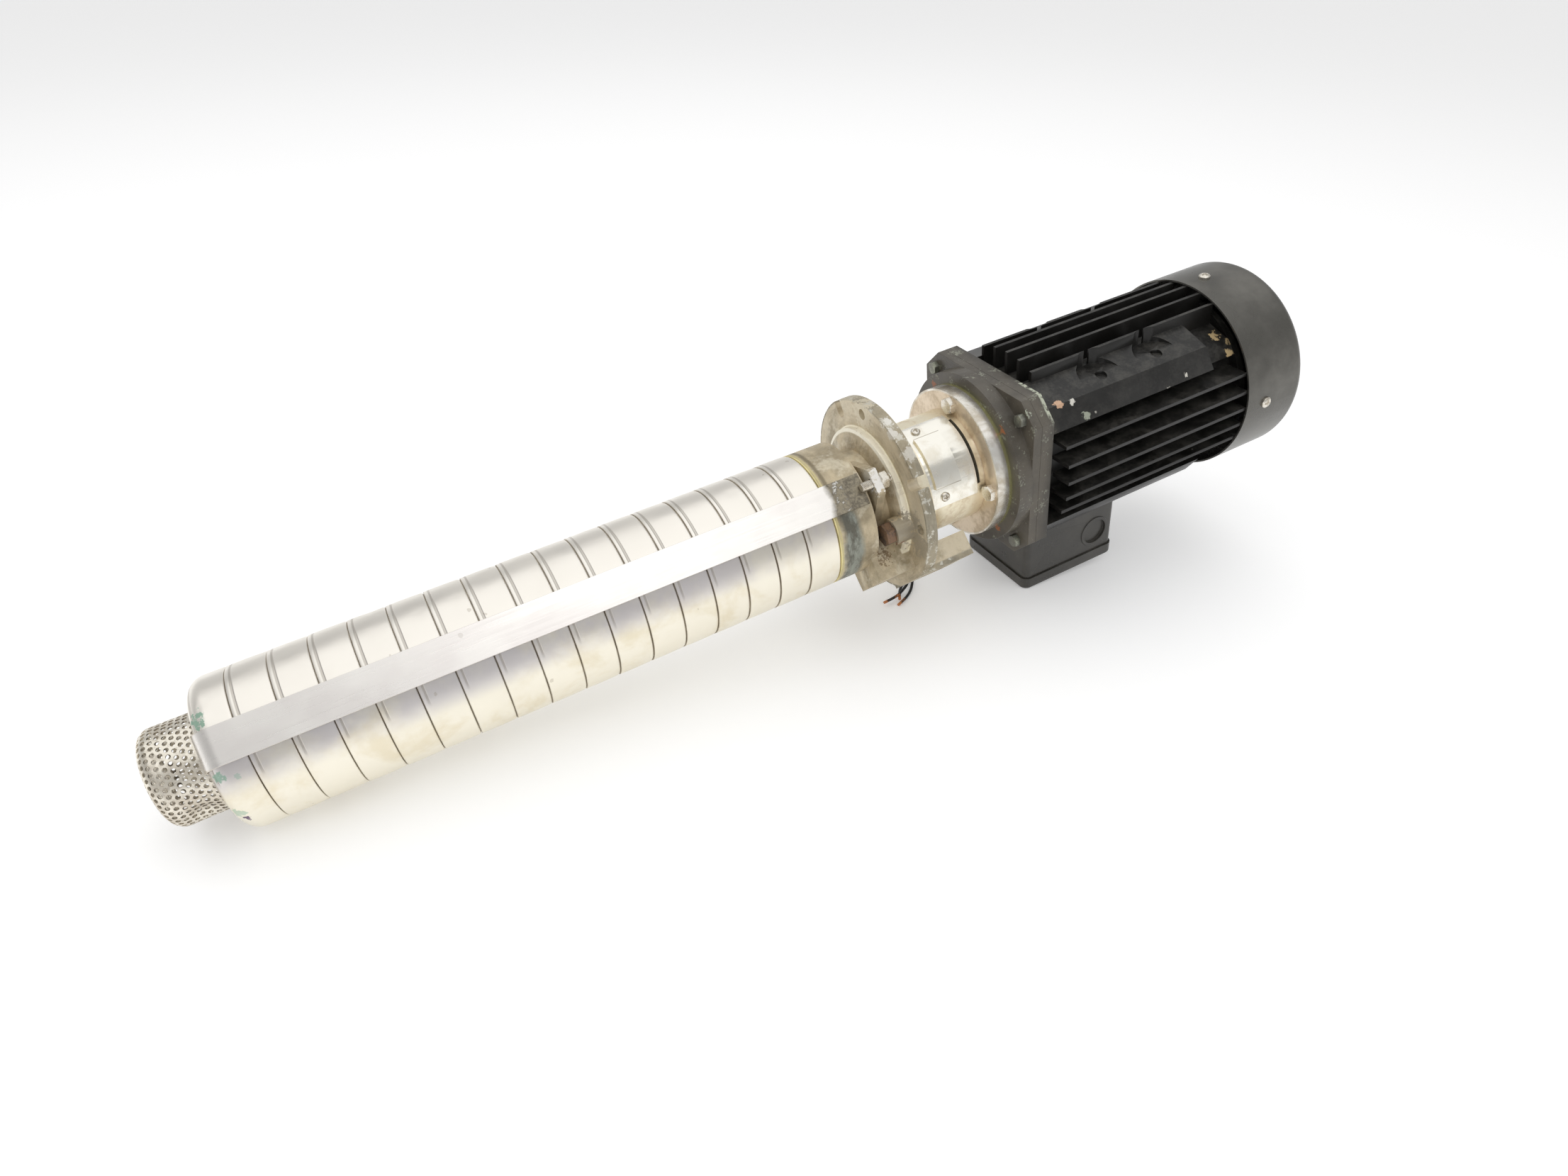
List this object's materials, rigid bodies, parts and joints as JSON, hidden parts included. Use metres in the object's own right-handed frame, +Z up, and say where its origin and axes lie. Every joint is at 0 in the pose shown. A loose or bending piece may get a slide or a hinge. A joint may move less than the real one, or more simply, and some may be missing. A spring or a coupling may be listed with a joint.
{
  "type": "coolant pump",
  "caption": "Immersible multistage coolant pump lying on its side: strainer, strapped steel chamber stack, mounting flange with side discharge, coupling guards, finned motor.",
  "frame": {"origin": "centre of the mounting flange face that sits on the tank, on the shaft axis", "axes": "+Z up from the bench that the pump lies on, +X along the pump towards the motor in plan (the shaft rises 7.3 degrees from +X towards the motor), +Y across the pump"},
  "size_m": [0.9698, 0.2807, 0.2578],
  "materials": {
    "chamber_steel": "satin, straw patches",
    "strainer_steel": "satin, stained",
    "strap_steel": "brushed",
    "guard_steel": "polished",
    "impeller_steel": "satin",
    "shaft_steel": "ground",
    "bearing_steel": "ground",
    "fastener_steel": "plain",
    "core_steel": "laminated",
    "head_casting": "mottled, stained",
    "stool_casting": "cast with a machined ring",
    "coupling_casting": "cast",
    "motor_paint": "satin black",
    "cover_paint": "satin black",
    "box_paint": "satin black",
    "dark_plug": "dark, rusty",
    "dark_bolts": "dark",
    "winding_copper": "varnished",
    "core_copper": "bare ends",
    "gasket": "yellowish",
    "seal_carbon": "carbon",
    "fan_plastic": "moulded",
    "board_plastic": "moulded",
    "gland_plastic": "moulded",
    "cable_rubber": "black sheath"
  },
  "bodies": {
    "casing": {"strainer": "strainer_steel", "inlet_part": "chamber_steel", "pump_head": "head_casting", "head_gasket": "gasket", "seal_seat": "seal_carbon", "filling_plug": "dark_plug", "strap_front": "strap_steel", "strap_rear": "strap_steel", "strap_studs": "fastener_steel", "strap_nuts": "fastener_steel", "motor_stool": "stool_casting", "coupling_guard_front": "guard_steel", "coupling_guard_rear": "guard_steel", "guard_screws": "fastener_steel", "ring_bolts": "fastener_steel", "front_shield": "motor_paint", "stator_housing": "motor_paint", "stator_core": "core_steel", "winding_heads": "winding_copper", "rear_shield": "motor_paint", "bearing_outer_rings": "bearing_steel", "fan_cover": "cover_paint", "fan_cover_screws": "fastener_steel", "corner_bolts": "dark_bolts", "terminal_box": "box_paint", "terminal_box_lid": "box_paint", "terminal_board": "board_plastic", "lid_screws": "dark_bolts", "cable_gland": "gland_plastic", "supply_cable": "cable_rubber", "cable_cores": "core_copper", "chamber_01": "chamber_steel", "chamber_02": "chamber_steel", "chamber_03": "chamber_steel", "chamber_04": "chamber_steel", "chamber_05": "chamber_steel", "chamber_06": "chamber_steel", "chamber_07": "chamber_steel", "chamber_08": "chamber_steel", "chamber_09": "chamber_steel", "chamber_10": "chamber_steel", "chamber_11": "chamber_steel", "chamber_12": "chamber_steel", "chamber_13": "chamber_steel", "chamber_14": "chamber_steel", "chamber_15": "chamber_steel", "chamber_16": "chamber_steel"},
    "rotor": {"pump_shaft": "shaft_steel", "motor_shaft": "shaft_steel", "rotor_core": "core_steel", "coupling_half_a": "coupling_casting", "coupling_half_b": "coupling_casting", "coupling_screws": "dark_bolts", "seal_ring": "seal_carbon", "bearing_inner_rings": "bearing_steel", "fan": "fan_plastic", "impellers_1": "impeller_steel", "impellers_2": "impeller_steel", "impellers_3": "impeller_steel", "impellers_4": "impeller_steel"}
  },
  "joints": [
    {"name": "shaft_spin", "type": "hinge", "parent": "casing", "child": "rotor", "pos_m": [0, 0, 0], "axis": [0.9918, 0, 0.1276], "continuous": true}
  ]
}
